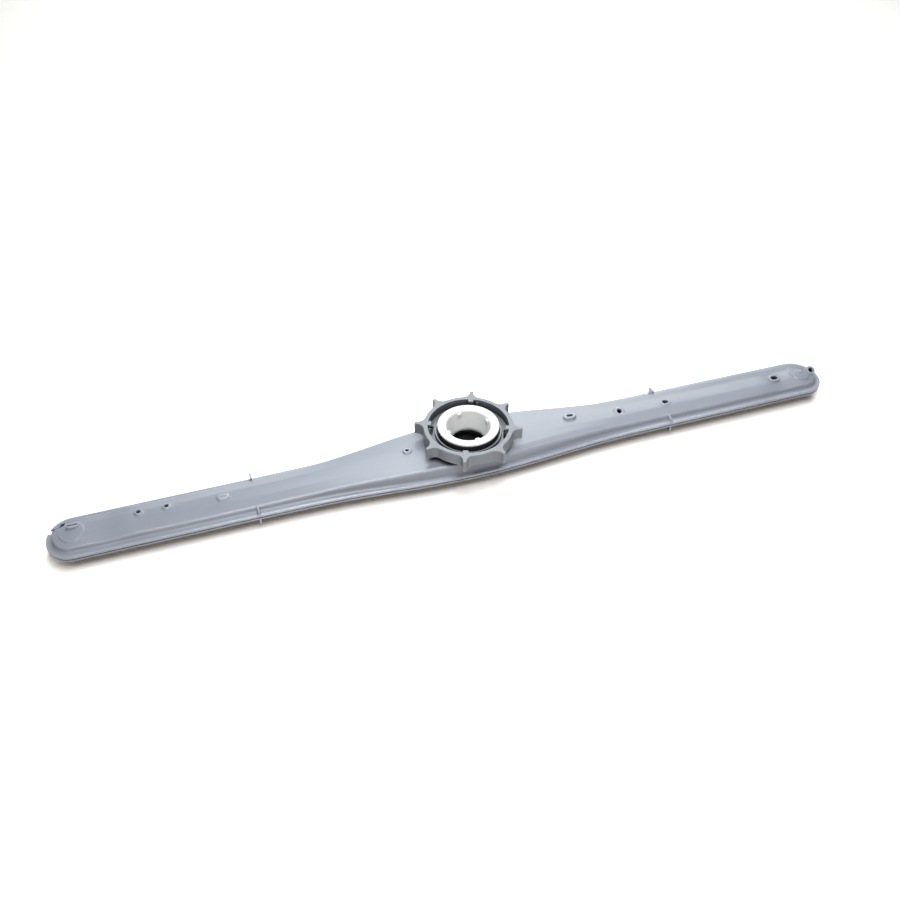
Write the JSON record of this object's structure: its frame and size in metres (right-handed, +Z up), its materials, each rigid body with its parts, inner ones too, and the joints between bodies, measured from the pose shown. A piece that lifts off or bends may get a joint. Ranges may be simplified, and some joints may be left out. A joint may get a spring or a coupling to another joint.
{
  "type": "dishwasher spray arm",
  "caption": "Long hollow dishwasher spray arm with jet nozzles, gusset fins and a welded rim, with a central bush and seal held in a horned locking collar.",
  "frame": {"origin": "under the hub axis, on the surface that the lower shell rests on", "axes": "+X along the arm, +Z up along the hub axis, nozzles and collar on top"},
  "size_m": [0.4724, 0.058, 0.0305],
  "materials": {
    "arm_plastic": "satin moulded, grey-blue",
    "bush_plastic": "satin moulded, white",
    "collar_plastic": "satin moulded, grey-blue",
    "seal_rubber": "dull black"
  },
  "bodies": {
    "arm": {"upper_shell": "arm_plastic", "lower_shell": "arm_plastic", "bearing_bush": "bush_plastic"},
    "collar": {"locking_collar": "collar_plastic", "seal_ring": "seal_rubber"}
  },
  "joints": [
    {"name": "collar_turn", "type": "hinge", "parent": "arm", "child": "collar", "pos_m": [0, 0, 0.0265], "axis": [0, 0, 1], "continuous": true}
  ]
}
